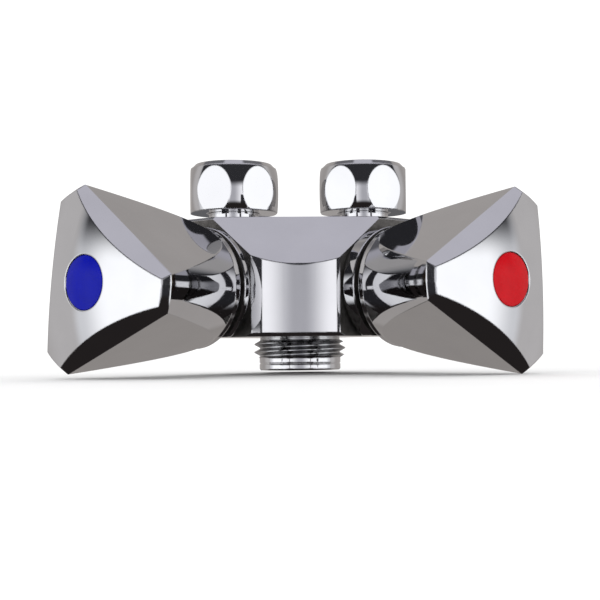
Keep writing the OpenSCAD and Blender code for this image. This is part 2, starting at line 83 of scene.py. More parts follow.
class CastingSizes(bpy.types.PropertyGroup):
    underside: FloatProperty(
        name="Underside",
        description="Height of the casting's underside above the outlet's lower thread end",
        default=4.6 * MM, unit="LENGTH")
    height: FloatProperty(
        name="Casting height", description="Height of the casting",
        default=25.6 * MM, unit="LENGTH")
    front_reach: FloatProperty(
        name="Front reach", description="Distance from the outlet's axis to the middle of the front",
        default=31.5 * MM, unit="LENGTH")
    front_radius: FloatProperty(
        name="Front radius", description="Radius of the front face, seen from above",
        default=33.0 * MM, unit="LENGTH")
    cold_end: FloatProperty(
        name="Cold end face", description="Distance from the outlet's axis to the cold arm's end face",
        default=29.4 * MM, unit="LENGTH")
    hot_end: FloatProperty(
        name="Hot end face", description="Distance from the outlet's axis to the hot arm's end face",
        default=28.7 * MM, unit="LENGTH")
    arm_width: FloatProperty(
        name="Arm width", description="Width of each arm across its end face",
        default=26.2 * MM, unit="LENGTH")
    back_radius: FloatProperty(
        name="Back radius", description="Radius of the rounded back",
        default=13.6 * MM, unit="LENGTH")
    facet_slope: FloatProperty(
        name="Facet slope", description="Slope of the facet above the front, from upright",
        default=math.radians(40), subtype="ANGLE")
    facet_height: FloatProperty(
        name="Facet height", description="Height of that facet at the middle of the front",
        default=10.6 * MM, unit="LENGTH")
    boss: FloatProperty(
        name="Boss radius", description="Radius of the rim of the boss that carries each tap",
        default=12.8 * MM, unit="LENGTH")
    boss_neck: FloatProperty(
        name="Boss neck radius", description="Radius of the neck behind that rim",
        default=11.3 * MM, unit="LENGTH")
    cold_neck: FloatProperty(
        name="Cold boss neck",
        description="Distance from the cold arm's end face to the rim of its boss",
        default=1.7 * MM, unit="LENGTH")
    hot_neck: FloatProperty(
        name="Hot boss neck",
        description="Distance from the hot arm's end face to the rim of its boss",
        default=0.5 * MM, unit="LENGTH")
    boss_end: FloatProperty(
        name="Boss face", description="Distance from the outlet's axis to the face of each boss",
        default=32.4 * MM, unit="LENGTH")
    thread_crest: FloatProperty(
        name="Thread crest radius", description="Radius of the outlet thread over its crests, G 1/2",
        default=10.4775 * MM, unit="LENGTH")
    thread_root: FloatProperty(
        name="Thread root radius", description="Radius of the outlet thread at its roots, G 1/2",
        default=9.3155 * MM, unit="LENGTH")
    thread_pitch: FloatProperty(
        name="Thread pitch", description="Pitch of the outlet thread, 14 turns to the inch",
        default=1.814 * MM, unit="LENGTH")
    thread_length: FloatProperty(
        name="Thread length", description="Height of the threaded stub",
        default=4.0 * MM, unit="LENGTH")
    plain_end: FloatProperty(
        name="Plain end", description="Length of the plain end below the outlet thread",
        default=2.8 * MM, unit="LENGTH")
    thread_turn: FloatProperty(
        name="Thread start", description="How far round the outlet its thread starts",
        default=0.0, subtype="ANGLE")


class KnobSizes(bpy.types.PropertyGroup):
    tap_angle: FloatProperty(
        name="Tap angle", description="Angle of each tap's axis from straight ahead",
        default=math.radians(40), subtype="ANGLE")
    axis_height: FloatProperty(
        name="Axis height", description="Height of the tap axes above the outlet's lower thread end",
        default=15.0 * MM, unit="LENGTH")
    back: FloatProperty(
        name="Knob back", description="Distance from the outlet's axis to the knob's back",
        default=33.6 * MM, unit="LENGTH")
    length: FloatProperty(
        name="Knob length", description="Length from the back to the middle of the domed front",
        default=30.2 * MM, unit="LENGTH")
    collar: FloatProperty(
        name="Collar radius", description="Radius of the knob's round collar",
        default=12.8 * MM, unit="LENGTH")
    corner: FloatProperty(
        name="Corner radius", description="Radius of the cone at the knob's widest line",
        default=19.8 * MM, unit="LENGTH")
    girdle: FloatProperty(
        name="Girdle", description="Distance from the knob's back to its widest line",
        default=26.2 * MM, unit="LENGTH")
    side: FloatProperty(
        name="Side distance", description="Distance of the three flat sides from the knob's axis",
        default=12.85 * MM, unit="LENGTH")
    bevel: FloatProperty(
        name="Bevel slope", description="Slope of the bevel above each flat side",
        default=math.radians(40), subtype="ANGLE")
    dome: FloatProperty(
        name="Dome radius", description="Radius of the domed front",
        default=73.0 * MM, unit="LENGTH")
    cold_turn: FloatProperty(
        name="Cold turn", description="How far the cold knob is turned below level",
        default=math.radians(8), subtype="ANGLE")
    hot_turn: FloatProperty(
        name="Hot turn", description="How far the hot knob is turned below level",
        default=math.radians(2), subtype="ANGLE")
    button: FloatProperty(
        name="Button radius", description="Radius of the coloured index button",
        default=5.2 * MM, unit="LENGTH")


class NutSizes(bpy.types.PropertyGroup):
    foot: FloatProperty(
        name="Nut foot", description="Height of the swivel nut's lower face",
        default=32.1 * MM, unit="LENGTH")
    height: FloatProperty(
        name="Nut height", description="Height of the swivel nut",
        default=10.8 * MM, unit="LENGTH")
    flats: FloatProperty(
        name="Across flats", description="Width of the swivel nut across its flats",
        default=19.0 * MM, unit="LENGTH")
    barrel: FloatProperty(
        name="Barrel radius", description="Largest radius of the turned nut between its flats",
        default=10.3 * MM, unit="LENGTH")
    curve: FloatProperty(
        name="Barrel curve", description="Radius of the barrel's curve, seen from the side",
        default=17.0 * MM, unit="LENGTH")
    thread_crest: FloatProperty(
        name="Nut thread crest", description="Radius of the nut's thread at its crests, G 3/8",
        default=7.475 * MM, unit="LENGTH")
    thread_root: FloatProperty(
        name="Nut thread root", description="Radius of the nut's thread at its roots, G 3/8",
        default=8.25 * MM, unit="LENGTH")
    thread_pitch: FloatProperty(
        name="Nut thread pitch", description="Pitch of the nut's thread, 19 turns to the inch",
        default=1.337 * MM, unit="LENGTH")
    across: FloatProperty(
        name="Inlet spacing", description="Distance between the two inlets",
        default=28.8 * MM, unit="LENGTH")
    forward: FloatProperty(
        name="Inlet forward", description="How far the inlets stand in front of the outlet's axis",
        default=11.2 * MM, unit="LENGTH")
    cold_turn: FloatProperty(
        name="Cold nut turn", description="How far the cold nut is turned",
        default=math.radians(7), subtype="ANGLE")
    hot_turn: FloatProperty(
        name="Hot nut turn", description="How far the hot nut is turned",
        default=math.radians(-5), subtype="ANGLE")


class FinishColours(bpy.types.PropertyGroup):
    chrome: FloatVectorProperty(
        name="Chrome", description="Colour of the chrome plate",
        default=(0.59, 0.59, 0.60), subtype="COLOR", min=0, max=1)
    cold: FloatVectorProperty(
        name="Cold", description="Colour of the cold index button",
        default=(0.004, 0.008, 0.36), subtype="COLOR", min=0, max=1)
    hot: FloatVectorProperty(
        name="Hot", description="Colour of the hot index button",
        default=(0.57, 0.006, 0.012), subtype="COLOR", min=0, max=1)
    edge: FloatProperty(
        name="Polished edge", description="Radius that polishing leaves on the edges of the chrome",
        default=0.45 * MM, unit="LENGTH")


class StageSettings(bpy.types.PropertyGroup):
    distance: FloatProperty(
        name="Camera distance", description="How far in front of the outlet the camera stands",
        default=0.28, unit="LENGTH")
    height: FloatProperty(
        name="Camera height", description="Height of the camera above the outlet's lower thread end",
        default=2.02 * MM, unit="LENGTH")
    focal: FloatProperty(
        name="Focal length", description="Focal length of the camera, in millimetres",
        default=72.62)
    aside: FloatProperty(
        name="Yaw", description="How far the camera looks to the right",
        default=math.radians(2.86), subtype="ANGLE")
    pitch: FloatProperty(
        name="Pitch", description="How far the camera looks up",
        default=math.radians(2.28), subtype="ANGLE")
    roll: FloatProperty(
        name="Roll", description="How far the camera leans",
        default=math.radians(0.60), subtype="ANGLE")
    shift: FloatProperty(
        name="Shift", description="Sideways shift that frames the tap as the photograph does",
        default=-0.10)


# Tools shared by the pieces

def deselect_all():
    if bpy.context.mode != "OBJECT":
        bpy.ops.object.mode_set(mode="OBJECT")
    bpy.ops.object.select_all(action="DESELECT")


def take_up(piece):
    """Selects one piece alone, so that the next operators act on it."""
    deselect_all()
    piece.select_set(True)
    bpy.context.view_layer.objects.active = piece


def draw_outline(points):
    """Starts at the first point and extrudes one corner from point to point. Stays in edit mode."""
    deselect_all()
    bpy.ops.mesh.primitive_plane_add(size=0.01 * MM, location=points[0])
    bpy.ops.object.mode_set(mode="EDIT")
    bpy.ops.mesh.select_all(action="SELECT")
    bpy.ops.mesh.merge(type="CENTER")
    for start, end in zip(points, points[1:]):
        stroke = Vector(end) - Vector(start)
        bpy.ops.mesh.extrude_vertices_move(TRANSFORM_OT_translate={"value": stroke})
    return bpy.context.object


def settle(piece, name, place=None):
    """Leaves edit mode, puts the piece's place into its mesh, welds it and turns its faces outwards."""
    take_up(piece)
    if place is not None:
        piece.matrix_world = place @ piece.matrix_world
        bpy.context.view_layer.update()
    bpy.ops.object.transform_apply(location=True, rotation=True, scale=True)
    bpy.ops.object.mode_set(mode="EDIT")
    bpy.ops.mesh.select_all(action="SELECT")
    bpy.ops.mesh.remove_doubles(threshold=WELD)
    bpy.ops.mesh.normals_make_consistent(inside=False)
    bpy.ops.object.mode_set(mode="OBJECT")
    piece.name = name
    piece.data.name = name
    return piece


def turn_up(points, name, steps=192):
    """Closes a half section, given as (radius, height) pairs in millimetres, and spins it."""
    piece = draw_outline([Vector((r * MM, 0, z * MM)) for r, z in points])
    bpy.ops.mesh.select_all(action="SELECT")
    mesh = bmesh.from_edit_mesh(piece.data)
    for corner in mesh.verts:
        corner.select = len(corner.link_edges) == 1
    mesh.select_flush_mode()
    bmesh.update_edit_mesh(piece.data)
    bpy.ops.mesh.edge_face_add()
    bpy.ops.mesh.select_all(action="SELECT")
    bpy.ops.mesh.spin(steps=steps, angle=math.tau, center=(0, 0, 0), axis=(0, 0, 1))
    return settle(piece, name)


def slice_off(piece, point, normal):
    """Cuts a piece along a plane, drops the side that the normal points to and closes the cut."""
    take_up(piece)
    bpy.ops.object.mode_set(mode="EDIT")
    bpy.ops.mesh.select_all(action="SELECT")
    bpy.ops.mesh.bisect(plane_co=point, plane_no=normal, use_fill=True, clear_outer=True,
                        threshold=0.0001 * MM)
    bpy.ops.object.mode_set(mode="OBJECT")


def combine(piece, tool, operation):
    """Joins a piece with a tool, or cuts it with one, removes the tool and welds the seam."""
    take_up(piece)
    cut = piece.modifiers.new("cut", "BOOLEAN")
    cut.operation = operation
    cut.solver = "EXACT"
    cut.object = tool
    bpy.ops.object.modifier_apply(modifier=cut.name)
    bpy.data.objects.remove(tool)
    bpy.ops.object.mode_set(mode="EDIT")
    bpy.ops.mesh.select_all(action="SELECT")
    bpy.ops.mesh.remove_doubles(threshold=WELD)
    bpy.ops.mesh.delete_loose()
    bpy.ops.object.mode_set(mode="OBJECT")
    if not piece.data.polygons:
        raise RuntimeError(piece.name + " vanished when it was cut")


def polish(piece, angle=9.0):
    """Shades the curved faces smooth and keeps the edges that turn further than the angle."""
    take_up(piece)
    bpy.ops.object.shade_smooth_by_angle(angle=math.radians(angle))


def dress(piece, coat):
    """Gives a whole piece one finish."""
    piece.data.materials.clear()
    piece.data.materials.append(coat)


def dress_faces(piece, coat, is_chosen):
    """Gives one more finish to the faces that the test picks."""
    piece.data.materials.append(coat)
    place = len(piece.data.materials) - 1
    for face in piece.data.polygons:
        if is_chosen(face):
            face.material_index = place


def threaded_rod(name, root, crest, pitch, low, high, turn=0.0):
    """A right-hand threaded rod about a vertical axis, cut square at both ends."""
    turns = int((high - low) / pitch) + 4
    start = low - 1.5 * pitch - turn / math.tau * pitch
    profile = ((crest, 0.0), (crest, 0.06), (root, 0.44), (root, 0.56), (crest, 0.94), (crest, 1.0))
    rod = draw_outline([Vector((r, 0, start + share * pitch)) for r, share in profile])
    bpy.ops.object.mode_set(mode="OBJECT")
    bpy.ops.object.transform_apply(location=True, rotation=True, scale=True)
    screw = rod.modifiers.new("thread", "SCREW")
    screw.angle = math.tau
    screw.screw_offset = pitch
    screw.iterations = turns
    screw.steps = 96
    screw.render_steps = 96
    screw.use_merge_vertices = True
    screw.merge_threshold = 0.001 * MM
    bpy.ops.object.modifier_apply(modifier=screw.name)
    slice_off(rod, (0, 0, high), (0, 0, 1))
    slice_off(rod, (0, 0, low), (0, 0, -1))
    return settle(rod, name)


def tap_place(side, distance, turn=0.0):
    """Where a shape that points along +Z goes on a tap's axis, turned about that axis."""
    sizes = bpy.context.scene.knob_sizes
    flip = Matrix.Scale(-1, 4, (1, 0, 0)) if side < 0 else Matrix.Identity(4)
    return (Matrix.Translation((0, 0, sizes.axis_height)) @ flip
            @ Matrix.Rotation(sizes.tap_angle - math.pi / 2, 4, "Z")
            @ Matrix.Rotation(math.pi / 2, 4, "Y") @ Matrix.Translation((0, 0, distance))
            @ Matrix.Rotation(turn - math.pi / 2, 4, "Z"))


# Finishes

def link(tree, start, end):
    tree.links.new(start, end)


def noise(tree, scale, detail, place):
    grain = tree.nodes.new("ShaderNodeTexNoise")
    grain.inputs["Scale"].default_value = scale
    grain.inputs["Detail"].default_value = detail
    link(tree, place, grain.inputs["Vector"])
    return grain.outputs["Fac"]


def spread(tree, source, low, high):
    """Spreads the middle of a noise over a range."""
    lane = tree.nodes.new("ShaderNodeMapRange")
    lane.inputs["From Min"].default_value = 0.3
    lane.inputs["From Max"].default_value = 0.7
    lane.inputs["To Min"].default_value = low
    lane.inputs["To Max"].default_value = high
    link(tree, source, lane.inputs["Value"])
    return lane.outputs["Result"]


def finish(name, tone, deep, metallic, rough, smooth, patch, grain, relief, edge=0.0):
    """A finish whose tone and gloss wander in patches and whose surface has a fine relief.

    The tone wanders down to deep and the roughness between smooth and rough. Patch and grain say
    how many patches and grains go to a metre. Relief is the grain's height in millimetres, and
    edge the radius that rounds the edges.
    """
    material = bpy.data.materials.new(name)
    material.use_nodes = True
    tree = material.node_tree
    shader = tree.nodes["Principled BSDF"]
    shader.inputs["Metallic"].default_value = metallic
    where = tree.nodes.new("ShaderNodeTexCoord").outputs["Object"]
    patches = noise(tree, patch, 4.0, where)
    colours = tree.nodes.new("ShaderNodeValToRGB")
    colours.color_ramp.elements[0].position = 0.3
    colours.color_ramp.elements[0].color = (*deep, 1)
    colours.color_ramp.elements[1].position = 0.7
    colours.color_ramp.elements[1].color = (*tone, 1)
    link(tree, patches, colours.inputs["Fac"])
    link(tree, colours.outputs["Color"], shader.inputs["Base Color"])
    gloss = spread(tree, noise(tree, patch * 2.3, 5.0, where), smooth, rough)
    link(tree, gloss, shader.inputs["Roughness"])
    bump = tree.nodes.new("ShaderNodeBump")
    bump.inputs["Strength"].default_value = 1.0
    bump.inputs["Distance"].default_value = relief * MM
    link(tree, noise(tree, grain, 3.0, where), bump.inputs["Height"])
    if edge:
        rounding = tree.nodes.new("ShaderNodeBevel")
        rounding.samples = 8
        rounding.inputs["Radius"].default_value = edge
        link(tree, rounding.outputs["Normal"], bump.inputs["Normal"])
    link(tree, bump.outputs["Normal"], shader.inputs["Normal"])
    return material


def darker(colour, share):
    return tuple(channel * share for channel in colour)


class TAP_OT_finish_headworks(bpy.types.Operator):
    """Gives the brass, rubber, fibre and steel pieces inside the taps their finishes"""
    bl_idname = "tap.finish_headworks"
    bl_label = "Finish the headworks"

    def execute(self, context):
        brass = finish("turned_brass", (0.62, 0.44, 0.19), (0.45, 0.31, 0.13), 1.0, 0.42, 0.26,
                       260, 5200, 0.010)
        rubber = finish("seal_rubber", (0.022, 0.022, 0.024), (0.010, 0.010, 0.011), 0.0, 0.72, 0.52,
                        500, 6000, 0.020)
        fibre = finish("washer_fibre", (0.060, 0.030, 0.022), (0.035, 0.018, 0.014), 0.0, 0.92, 0.78,
                       900, 7000, 0.040)
        steel = finish("zinc_steel", (0.62, 0.64, 0.66), (0.48, 0.50, 0.53), 1.0, 0.42, 0.26,
                       420, 6500, 0.012)
        finishes = {
            "spindle": brass, "bonnet": brass, "valve": brass, "washer_screw": brass,
            "spindle_o_ring": rubber, "seat_washer": rubber, "union_washer": rubber,
            "bonnet_washer": fibre, "handle_screw": steel, "circlip": steel,
        }
        for tap, _side in SIDES:
            for piece, coat in finishes.items():
                dress(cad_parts[tap + "_" + piece], coat)
        return {"FINISHED"}


def raw_metal():
    """The dull unplated metal inside the knobs and on the machined faces."""
    if "raw_casting" in bpy.data.materials:
        return bpy.data.materials["raw_casting"]
    return finish("raw_casting", (0.20, 0.19, 0.18), (0.11, 0.105, 0.10), 1.0, 0.62, 0.45,
                  420, 5200, 0.020)


def polished_chrome():
    """Bright chrome with faint polishing waves, wipe marks and edges that polishing has rounded."""
    if "polished_chrome" in bpy.data.materials:
        return bpy.data.materials["polished_chrome"]
    colours = bpy.context.scene.finish_colours
    tone = tuple(colours.chrome)
    return finish("polished_chrome", tone, darker(tone, 0.95), 1.0, 0.050, 0.022, 120, 700, 0.0006,
                  edge=colours.edge)


def thread_chrome_painted_shade():
    """Thin chrome over the cut thread, rougher than the rest, with crisp edges. Its darker tone is
    painted shade, standing in for the shade under the casting.
    """
    # Painted shade: the tone is darker than the casting's chrome to stand in for the shade under the
    # casting's underside
    tone = darker(bpy.context.scene.finish_colours.chrome, 0.72)
    return finish("thread_chrome_painted_shade", tone, darker(tone, 0.62), 1.0, 0.18, 0.07, 420, 2600, 0.008,
                  edge=0.06 * MM)


def plan_corner(side, angle, out, off):
    """A corner of the casting's plan, so far out along a tap and so far off it towards the front."""
    return Vector((side * (out * math.sin(angle) - off * math.cos(angle)),
                   -out * math.cos(angle) - off * math.sin(angle), 0))


class TAP_OT_add_casting(bpy.types.Operator):
    """Builds the polished casting from its plan, its bosses and the threaded outlet"""
    bl_idname = "tap.add_casting"
    bl_label = "Add the casting"

    def execute(self, context):
        sizes = context.scene.casting_sizes
        angle = context.scene.knob_sizes.tap_angle
        axis = context.scene.knob_sizes.axis_height
        foot = sizes.underside
        top = foot + sizes.height
        reach = sizes.front_reach
        half = sizes.arm_width / 2
        spare = 0.4 * MM
        ends = {-1: sizes.cold_end, 1: sizes.hot_end}

        def front_corner(side):
            off = (reach - ends[side] * math.cos(angle)) / math.sin(angle)
            return plan_corner(side, angle, ends[side], off)

        # The plan, drawn a little below the underside and pulled up past the top
        lift = Vector((0, 0, foot - spare))
        outline = [front_corner(-1), front_corner(1),
                   plan_corner(1, angle, ends[1], -half), plan_corner(1, angle, 0, -half),
                   Vector((0, 0, 0)),
                   plan_corner(-1, angle, 0, -half), plan_corner(-1, angle, ends[-1], -half)]
        casting = draw_outline([corner + lift for corner in outline])
        bpy.ops.mesh.select_all(action="SELECT")
        bpy.ops.mesh.edge_face_add()
        bpy.ops.mesh.extrude_region_move(
            TRANSFORM_OT_translate={"value": (0, 0, sizes.height + 2 * spare)})
        settle(casting, "tap_casting")

        # The curved front, with the bevel along its lower edge
        deselect_all()
        bpy.ops.mesh.primitive_cube_add(size=1, location=(0, -reach, (foot + top) / 2))
        block = context.object
        block.scale = (2 * half, reach, 2 * sizes.height)
        settle(block, "front_block")
        curve, bevel = sizes.front_radius / MM, 0.7
        drum = turn_up([(0, -20), (curve - bevel, -20), (curve - bevel, foot / MM),
                        (curve, foot / MM + bevel), (curve, 60), (0, 60)], "front_drum", 360)
        settle(drum, "front_drum", Matrix.Translation((0, sizes.front_radius - reach, 0)))
        combine(block, drum, "DIFFERENCE")
        combine(casting, block, "DIFFERENCE")

        # The rounded back, then the top and the small bevels at the end faces
        round_back = sizes.back_radius / MM
        back = turn_up([(0, ROUNDED_BACK_FOOT), (round_back, ROUNDED_BACK_FOOT),
                        (round_back, ROUNDED_BACK_TOP), (0, ROUNDED_BACK_TOP)], "rounded_back", 180)
        combine(casting, back, "UNION")
        slice_off(casting, (0, 0, top), (0, 0, 1))
        for side in (-1, 1):
            out = Vector((side * math.sin(angle), -math.cos(angle), 0))
            slice_off(casting, out * (ends[side] - 0.6 * MM) + Vector((0, 0, top)),
                      out + Vector((0, 0, 1)))

        # The facet above the front
        slope = sizes.facet_slope
        slice_off(casting, (0, -reach, top - sizes.facet_height),
                  (0, -math.cos(slope), math.sin(slope)))
        # Polishing has left a thin flat on the middle of the facet's lower edge
        slice_off(casting, (0, 0.1 * MM - reach, top - sizes.facet_height),
                  (0, -math.cos(slope / 2), math.sin(slope / 2)))

        # The bosses, each a neck with a rim
        boss, neck = sizes.boss / MM, sizes.boss_neck / MM
        for side in (-1, 1):
            tall = (sizes.boss_end - ends[side]) / MM
            rim = (sizes.cold_neck if side < 0 else sizes.hot_neck) / MM
            carrier = turn_up([(0, -1), (neck, -1), (neck, rim - 0.4), (boss, rim), (boss, tall - 0.15),
                               (boss - 0.15, tall), (0, tall)], "boss", 180)
            settle(carrier, "boss", tap_place(side, ends[side], math.pi / 2))
            combine(casting, carrier, "UNION")
        slice_off(casting, (0, 0, foot), (0, 0, -1))

        # The outlet: plain end with its groove, thread and relief
        crest, high = sizes.thread_crest / MM, sizes.thread_length / MM
        plain = sizes.plain_end / MM
        outlet = turn_up([(0, -plain), (9.0, -plain), (9.3, 0.3 - plain), (9.3, -0.45 * plain - 0.2),
                          (9.1, -0.45 * plain), (9.3, 0.2 - 0.45 * plain),
                          (9.3, 0.1), (8.9, 0.3), (8.9, high - 0.5), (9.15, high - 0.2),
                          (9.15, 6), (0, 6)], "outlet", 192)
        rod = threaded_rod("outlet_thread", sizes.thread_root - 0.1 * MM, sizes.thread_crest,
                           sizes.thread_pitch, -0.5 * MM, sizes.thread_length + 0.5 * MM,
                           turn=sizes.thread_turn)
        limit = turn_up([(0, -0.1), (9.1, -0.1), (crest + 0.02, 0.85), (crest + 0.02, high - 0.55),
                         (8.9, high + 0.25), (0, high + 0.25)], "thread_limit", 180)
        combine(rod, limit, "INTERSECT")
        combine(outlet, rod, "UNION")
        combine(casting, outlet, "UNION")

        # The waterways
        nuts = context.scene.nut_sizes
        for side in (-1, 1):
            chamber = turn_up(VALVE_CHAMBER, "valve_chamber", 96)
            settle(chamber, "valve_chamber", tap_place(side, 0))
            combine(casting, chamber, "DIFFERENCE")
            inlet = turn_up(INLET, "inlet", 96)
            settle(inlet, "inlet", Matrix.Translation((side * nuts.across / 2, -nuts.forward, 0)))
            combine(casting, inlet, "DIFFERENCE")
        bore = turn_up([(0, -4), (7.0, -4), (7.0, -plain - 0.2), (6.5, 0.3 - plain),
                        (6.5, 18.6), (0, 18.6)], "outlet_bore", 96)
        combine(casting, bore, "DIFFERENCE")
        if max(vertex.co.z for vertex in casting.data.vertices) < top - 0.1 * MM:
            raise RuntimeError("the casting lost its arms when it was cut")
        settle(casting, "tap_casting")
        polish(casting)
        dress(casting, polished_chrome())
        taps = [Vector((side * math.sin(angle), -math.cos(angle), 0)) for side in (-1, 1)]

        def is_machined(face):
            """Picks the boss faces, the valve chambers and the outlet's bore."""
            spot = face.center - Vector((0, 0, axis))
            for out in taps:
                along = spot.dot(out)
                off = (spot - out * along).length
                in_chamber = off < 8.6 * MM
                if along > 12 * MM and (in_chamber or off < 12.4 * MM and face.normal.dot(out) > 0.9):
                    return in_chamber or along > sizes.boss_end - 0.1 * MM
            return math.hypot(face.center.x, face.center.y) < 6.6 * MM and face.center.z < 19 * MM

        def is_thread(face):
            return -0.3 * MM < face.center.z < foot - 0.02 * MM and face.material_index == 0

        dress_faces(casting, raw_metal(), is_machined)
        # The outlet stub below the underside gets the darker chrome, whose tone is painted shade
        dress_faces(casting, thread_chrome_painted_shade(), is_thread)
        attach(casting, "casting")
        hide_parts("body")
        return {"FINISHED"}


class TAP_OT_add_knobs(bpy.types.Operator):
    """Turns each knob from a cone and a dome, then cuts its flat sides and bevels"""
    bl_idname = "tap.add_knobs"
    bl_label = "Add the knobs"

    def execute(self, context):
        sizes = context.scene.knob_sizes
        length, corner, girdle = sizes.length / MM, sizes.corner / MM, sizes.girdle / MM
        collar, dome, button = sizes.collar / MM, sizes.dome / MM, sizes.button / MM

        def dome_height(r):
            return length - dome + math.sqrt(dome * dome - r * r)

        def is_hollow(face):
            return math.hypot(face.center.x, face.center.y) < 10.55 * MM and face.center.z < 24.8 * MM

        seat = length - 2.0
        rim = corner - 0.96
        section = [(10.4, 0.2), (10.6, 0), (collar - 0.25, 0), (collar, 0.25), (collar, 1.5),
                   (corner, girdle), (rim, dome_height(rim))]
        inner = button + 0.03
        rings = [rim + (inner + 0.2 - rim) * i / 12 for i in range(1, 13)]
        section += [(r, dome_height(r)) for r in rings]
        section += [(inner, dome_height(inner) - 0.2), (inner, seat), (KNOB_HOLLOW[0][0], seat)]
        section += KNOB_HOLLOW
        lean = sizes.bevel
        for tap, side in SIDES:
            knob = turn_up(section, tap + "_knob", 240)
            for k in range(3):
                way = math.radians(60 + 120 * k)
                out = Vector((math.cos(way), math.sin(way), 0))
                slice_off(knob, out * sizes.side, out)
                slope = out * math.cos(lean) + Vector((0, 0, math.sin(lean)))
                slice_off(knob, out * sizes.side + Vector((0, 0, sizes.girdle)), slope)
            turn = sizes.cold_turn if side < 0 else sizes.hot_turn
            dress(knob, polished_chrome())
            dress_faces(knob, raw_metal(), is_hollow)
            settle(knob, tap + "_knob", tap_place(side, sizes.back, turn))
            polish(knob)
            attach(knob, tap + "_tap")
            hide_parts(tap + "_handle")
        return {"FINISHED"}


class TAP_OT_add_index_buttons(bpy.types.Operator):
    """Turns the blue and the red button with their ring plugs"""
    bl_idname = "tap.add_index_buttons"
    bl_label = "Add the index buttons"

    def execute(self, context):
        sizes = context.scene.knob_sizes
        colours = context.scene.finish_colours
        radius, rim, crown = sizes.button / MM, 1.7, 0.6
        curve = (radius * radius + crown * crown) / (2 * crown)
        section = [(3.4, -3), (4.3, -3), (4.3, 0), (radius - 0.15, 0), (radius, 0.15),
                   (radius, rim - 0.12)]
        for i in range(13):
            r = (radius - 0.1) * (1 - i / 12)
            section.append((r, rim + crown - curve + math.sqrt(curve * curve - r * r)))
        section += [(0, 0.2), (3.4, 0.2)]
        for tap, side in SIDES:
            tone = tuple(colours.cold if side < 0 else colours.hot)
            button = turn_up(section, tap + "_button", 96)
            turn = sizes.cold_turn if side < 0 else sizes.hot_turn
            settle(button, tap + "_button", tap_place(side, sizes.back + sizes.length - 2 * MM, turn))
            polish(button, 30)
            plastic = finish(tap + "_plastic", tone, darker(tone, 0.86), 0.0, 0.20, 0.12,
                             300, 2600, 0.003)
            plastic.node_tree.nodes["Principled BSDF"].inputs["Specular IOR Level"].default_value = 0.09
            dress(button, plastic)
            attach(button, tap + "_tap")
            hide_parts(tap + "_index_button")
        return {"FINISHED"}


class TAP_OT_add_swivel_nuts(bpy.types.Operator):
    """Turns the barrel of each swivel nut, cuts its six flats and taps its thread"""
    bl_idname = "tap.add_swivel_nuts"
    bl_label = "Add the swivel nuts"

    def execute(self, context):
        sizes = context.scene.nut_sizes
        height, barrel, curve = sizes.height / MM, sizes.barrel / MM, sizes.curve / MM
        crest = sizes.thread_crest / MM
        shoulder = height - 0.9

        def barrel_at(z):
            return barrel - curve + math.sqrt(curve * curve - (z - 4.5) ** 2)

        levels = [shoulder * i / 20 for i in range(21)]
        section = [(5.75, 0.2), (5.95, 0)] + [(barrel_at(level), level) for level in levels]
        section += [(9.3, shoulder), (8.4, height), (crest + 0.6, height), (crest, height - 0.6),
                    (crest, 5.9), (7.9, 5.9), (7.9, 1.9), (5.75, 1.9)]
        for tap, side in SIDES:
            nut = turn_up(section, tap + "_swivel_nut", 192)
            for k in range(6):
                way = math.radians(60 * k)
                out = Vector((math.cos(way), math.sin(way), 0))
                slice_off(nut, out * sizes.flats / 2, out)
            tool = threaded_rod("tap_tool", crest * MM - 0.05 * MM, sizes.thread_root,
                                sizes.thread_pitch, 5.2 * MM, sizes.height + MM)
            combine(nut, tool, "DIFFERENCE")
            turn = sizes.cold_turn if side < 0 else sizes.hot_turn
            place = Matrix.Translation((side * sizes.across / 2, -sizes.forward, sizes.foot))
            settle(nut, tap + "_swivel_nut", place @ Matrix.Rotation(turn, 4, "Z"))
            polish(nut)
            dress(nut, polished_chrome())
            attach(nut, tap + "_swivel_nut")
            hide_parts(tap + "_union_nut")
        return {"FINISHED"}


class TAP_OT_add_union_tails(bpy.types.Operator):
    """Turns the collared tails that the swivel nuts pull on"""
    bl_idname = "tap.add_union_tails"
    bl_label = "Add the union tails"

    def execute(self, context):
        sizes = context.scene.nut_sizes
        for tap, side in SIDES:
            tail = turn_up(UNION_TAIL, tap + "_tail", 128)
            place = Matrix.Translation((side * sizes.across / 2, -sizes.forward, 0))
            settle(tail, tap + "_tail", place)
            polish(tail, 20)
            dress(tail, polished_chrome())
            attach(tail, "casting")
            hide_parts(tap + "_union_tail")
        return {"FINISHED"}


# The studio

